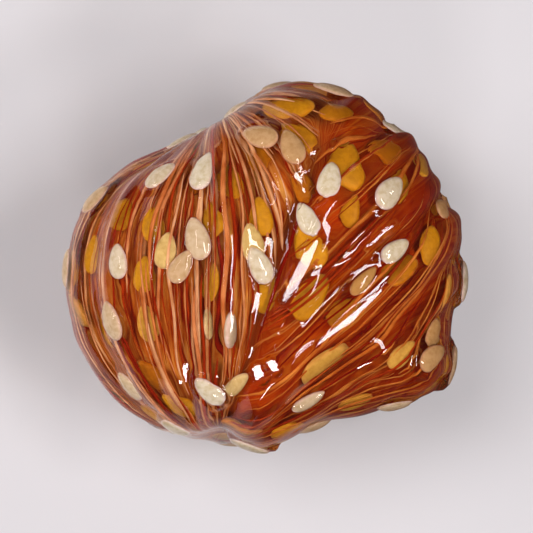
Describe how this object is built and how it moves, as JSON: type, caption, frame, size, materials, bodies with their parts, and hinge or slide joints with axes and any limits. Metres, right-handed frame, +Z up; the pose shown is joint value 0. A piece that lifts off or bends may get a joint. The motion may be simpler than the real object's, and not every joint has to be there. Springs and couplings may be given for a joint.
{
  "type": "sesame hard candy",
  "caption": "Lump of pulled, pinched and folded amber sugar candy with sesame seeds in its skin, to lie on a dish or table.",
  "frame": {"origin": "on the table under the middle of the lump", "axes": "+Z up from the table; +X across the pull, the candy's longest way; +Y along the pull, towards the upper pinch"},
  "size_m": [0.0311, 0.0286, 0.0228],
  "materials": {
    "boiled_sugar": "glossy clear amber sugar with cream sesame seeds"
  },
  "bodies": {
    "root": {"candy": "boiled_sugar"}
  },
  "joints": []
}
